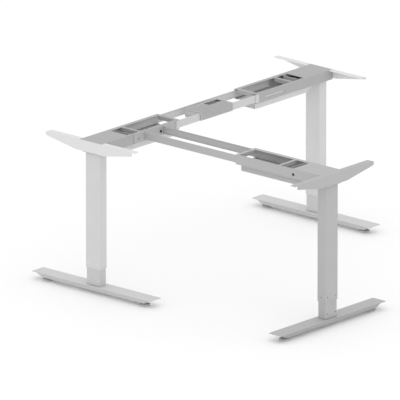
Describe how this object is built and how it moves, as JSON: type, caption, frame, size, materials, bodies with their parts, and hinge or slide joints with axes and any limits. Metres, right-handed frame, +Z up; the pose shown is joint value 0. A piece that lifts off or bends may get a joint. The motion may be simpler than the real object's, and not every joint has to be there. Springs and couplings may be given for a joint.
{
  "type": "height adjustable standing desk frame",
  "caption": "L-shaped height adjustable desk frame: telescopic lifting columns on long feet carry sliding rail beams with side brackets for a top.",
  "frame": {"origin": "centre of the bounding box at floor level, under the levelling feet", "axes": "+Z up; +X along the main beam from the left column to the right column; +Y from the return leg towards the main beam"},
  "size_m": [1.567, 1.4816, 0.708],
  "materials": {
    "base_paint": "pale powder coat on the feet, fine texture, satin",
    "column_paint": "pale powder coat on the outer tubes, fine texture, satin",
    "arm_paint": "very pale powder coat on the brackets, fine texture, satin",
    "tray_paint": "light grey powder coat on the cable trays, satin",
    "frame_paint": "mid grey powder coat, fine texture, satin",
    "tube_paint": "light grey powder coat on the lower tubes, satin",
    "return_paint": "silver grey powder coat, fine texture, satin",
    "rail_paint": "light grey powder coat on the sliding rails",
    "housing_paint": "grey powder coat on the motor housings",
    "control_case": "grey moulded plastic, matte",
    "zinc_screw": "zinc plated",
    "black_screw": "black oxide on steel pins and screws, and black plugs",
    "leveler_plastic": "grey moulded plastic foot on a steel stud",
    "glide_plastic": "white acetal glides and sockets",
    "nut_plastic": "acetal nut plate",
    "screw_steel": "rolled trapezoidal thread, greased",
    "motor_steel": "dark grey painted drive motor and gear case"
  },
  "bodies": {
    "left_base": {"left_foot": "base_paint", "left_foot_screws": "zinc_screw", "left_inner_tube": "tube_paint", "left_inner_nut": "nut_plastic"},
    "left_leveler_a": {"left_leveler_a": "leveler_plastic"},
    "left_leveler_b": {"left_leveler_b": "leveler_plastic"},
    "left_middle": {"left_middle_tube": "tube_paint", "left_middle_nut": "nut_plastic", "left_glide_pads": "glide_plastic"},
    "left_hollow_screw": {"left_hollow_screw": "screw_steel"},
    "left_side": {"left_outer_tube": "column_paint", "left_gear_motor": "motor_steel", "left_motor_housing": "housing_paint", "left_side_frame": "frame_paint", "left_bracket": "arm_paint", "left_bracket_nuts": "zinc_screw", "left_cable_tray": "tray_paint", "junction_plate": "return_paint", "junction_bolts": "zinc_screw", "return_inner_rails": "return_paint"},
    "left_spindle": {"left_spindle": "screw_steel"},
    "right_base": {"right_foot": "base_paint", "right_foot_screws": "zinc_screw", "right_inner_tube": "tube_paint", "right_inner_nut": "nut_plastic"},
    "right_leveler_a": {"right_leveler_a": "leveler_plastic"},
    "right_leveler_b": {"right_leveler_b": "leveler_plastic"},
    "right_middle": {"right_middle_tube": "tube_paint", "right_middle_nut": "nut_plastic", "right_glide_pads": "glide_plastic"},
    "right_hollow_screw": {"right_hollow_screw": "screw_steel"},
    "right_side": {"right_outer_tube": "column_paint", "right_gear_motor": "motor_steel", "right_motor_housing": "housing_paint", "right_side_frame": "frame_paint", "right_bracket": "arm_paint", "right_bracket_nuts": "zinc_screw", "right_cable_tray": "tray_paint"},
    "right_spindle": {"right_spindle": "screw_steel"},
    "return_base": {"return_foot": "return_paint", "return_foot_screws": "zinc_screw", "return_inner_tube": "return_paint", "return_inner_nut": "nut_plastic"},
    "return_leveler_a": {"return_leveler_a": "leveler_plastic"},
    "return_leveler_b": {"return_leveler_b": "leveler_plastic"},
    "return_middle": {"return_middle_tube": "return_paint", "return_middle_nut": "nut_plastic", "return_glide_pads": "glide_plastic"},
    "return_hollow_screw": {"return_hollow_screw": "screw_steel"},
    "return_side": {"return_outer_tube": "return_paint", "return_gear_motor": "motor_steel", "return_motor_housing": "return_paint", "return_side_frame": "return_paint", "return_bracket": "return_paint", "return_bracket_nuts": "zinc_screw", "return_cable_tray": "return_paint"},
    "return_spindle": {"return_spindle": "screw_steel"},
    "main_slide": {"main_inner_rails": "rail_paint", "control_box": "control_case", "control_cover": "control_case"}
  },
  "joints": [
    {"name": "column_lower_stage", "type": "slide", "parent": "left_base", "child": "left_middle", "axis": [0, 0, 1], "range_m": [0, 0.325]},
    {"name": "column_upper_stage", "type": "slide", "parent": "left_middle", "child": "left_side", "axis": [0, 0, 1], "range_m": [-0.07, 0.255]},
    {"name": "beam_width", "type": "slide", "parent": "left_side", "child": "right_side", "axis": [1, 0, 0], "range_m": [-0.2, 0.25]},
    {"name": "beam_return_reach", "type": "slide", "parent": "left_side", "child": "return_side", "axis": [0, -1, 0], "range_m": [-0.1, 0.12]},
    {"name": "main_slide", "type": "slide", "parent": "left_side", "child": "main_slide", "axis": [1, 0, 0], "range_m": [-0.105, 0.13]},
    {"name": "right_upper_stage", "type": "slide", "parent": "right_side", "child": "right_middle", "axis": [0, 0, -1], "range_m": [-0.072, 0.257]},
    {"name": "right_lower_stage", "type": "slide", "parent": "right_middle", "child": "right_base", "axis": [0, 0, -1], "range_m": [-0.002, 0.327]},
    {"name": "return_upper_stage", "type": "slide", "parent": "return_side", "child": "return_middle", "axis": [0, 0, -1], "range_m": [-0.072, 0.257]},
    {"name": "return_lower_stage", "type": "slide", "parent": "return_middle", "child": "return_base", "axis": [0, 0, -1], "range_m": [-0.002, 0.327]},
    {"name": "left_spindle_turn", "type": "hinge", "parent": "left_side", "child": "left_spindle", "pos_m": [-0.743, 0.39075, 0.4], "axis": [0, 0, 1], "range_deg": [-3155, 11480]},
    {"name": "left_hollow_screw_turn", "type": "hinge", "parent": "left_middle", "child": "left_hollow_screw", "pos_m": [-0.743, 0.39075, 0.3], "axis": [0, 0, 1], "range_deg": [-5, 14630]},
    {"name": "left_leveler_a_height", "type": "slide", "parent": "left_base", "child": "left_leveler_a", "axis": [0, 0, -1], "range_m": [0, 0.012]},
    {"name": "left_leveler_b_height", "type": "slide", "parent": "left_base", "child": "left_leveler_b", "axis": [0, 0, -1], "range_m": [0, 0.012]},
    {"name": "right_spindle_turn", "type": "hinge", "parent": "right_side", "child": "right_spindle", "pos_m": [0.743, 0.39075, 0.4], "axis": [0, 0, 1], "range_deg": [-3155, 11480]},
    {"name": "right_hollow_screw_turn", "type": "hinge", "parent": "right_middle", "child": "right_hollow_screw", "pos_m": [0.743, 0.39075, 0.3], "axis": [0, 0, 1], "range_deg": [-5, 14630]},
    {"name": "right_leveler_a_height", "type": "slide", "parent": "right_base", "child": "right_leveler_a", "axis": [0, 0, -1], "range_m": [0, 0.012]},
    {"name": "right_leveler_b_height", "type": "slide", "parent": "right_base", "child": "right_leveler_b", "axis": [0, 0, -1], "range_m": [0, 0.012]},
    {"name": "return_spindle_turn", "type": "hinge", "parent": "return_side", "child": "return_spindle", "pos_m": [-0.431, -0.70025, 0.4], "axis": [0, 0, 1], "range_deg": [-3155, 11480]},
    {"name": "return_hollow_screw_turn", "type": "hinge", "parent": "return_middle", "child": "return_hollow_screw", "pos_m": [-0.431, -0.70025, 0.3], "axis": [0, 0, 1], "range_deg": [-5, 14630]},
    {"name": "return_leveler_a_height", "type": "slide", "parent": "return_base", "child": "return_leveler_a", "axis": [0, 0, -1], "range_m": [0, 0.012]},
    {"name": "return_leveler_b_height", "type": "slide", "parent": "return_base", "child": "return_leveler_b", "axis": [0, 0, -1], "range_m": [0, 0.012]}
  ],
  "couplings": [
    {"joint": "main_slide", "follows": "beam_width", "ratio": 0.5},
    {"joint": "right_upper_stage", "follows": "column_upper_stage", "ratio": 1},
    {"joint": "right_lower_stage", "follows": "column_lower_stage", "ratio": 1},
    {"joint": "return_upper_stage", "follows": "column_upper_stage", "ratio": 1},
    {"joint": "return_lower_stage", "follows": "column_lower_stage", "ratio": 1},
    {"joint": "left_spindle_turn", "follows": "column_upper_stage", "rad_per_m": 785.4},
    {"joint": "left_hollow_screw_turn", "follows": "column_lower_stage", "rad_per_m": 785.4},
    {"joint": "right_spindle_turn", "follows": "column_upper_stage", "rad_per_m": 785.4},
    {"joint": "right_hollow_screw_turn", "follows": "column_lower_stage", "rad_per_m": 785.4},
    {"joint": "return_spindle_turn", "follows": "column_upper_stage", "rad_per_m": 785.4},
    {"joint": "return_hollow_screw_turn", "follows": "column_lower_stage", "rad_per_m": 785.4}
  ]
}
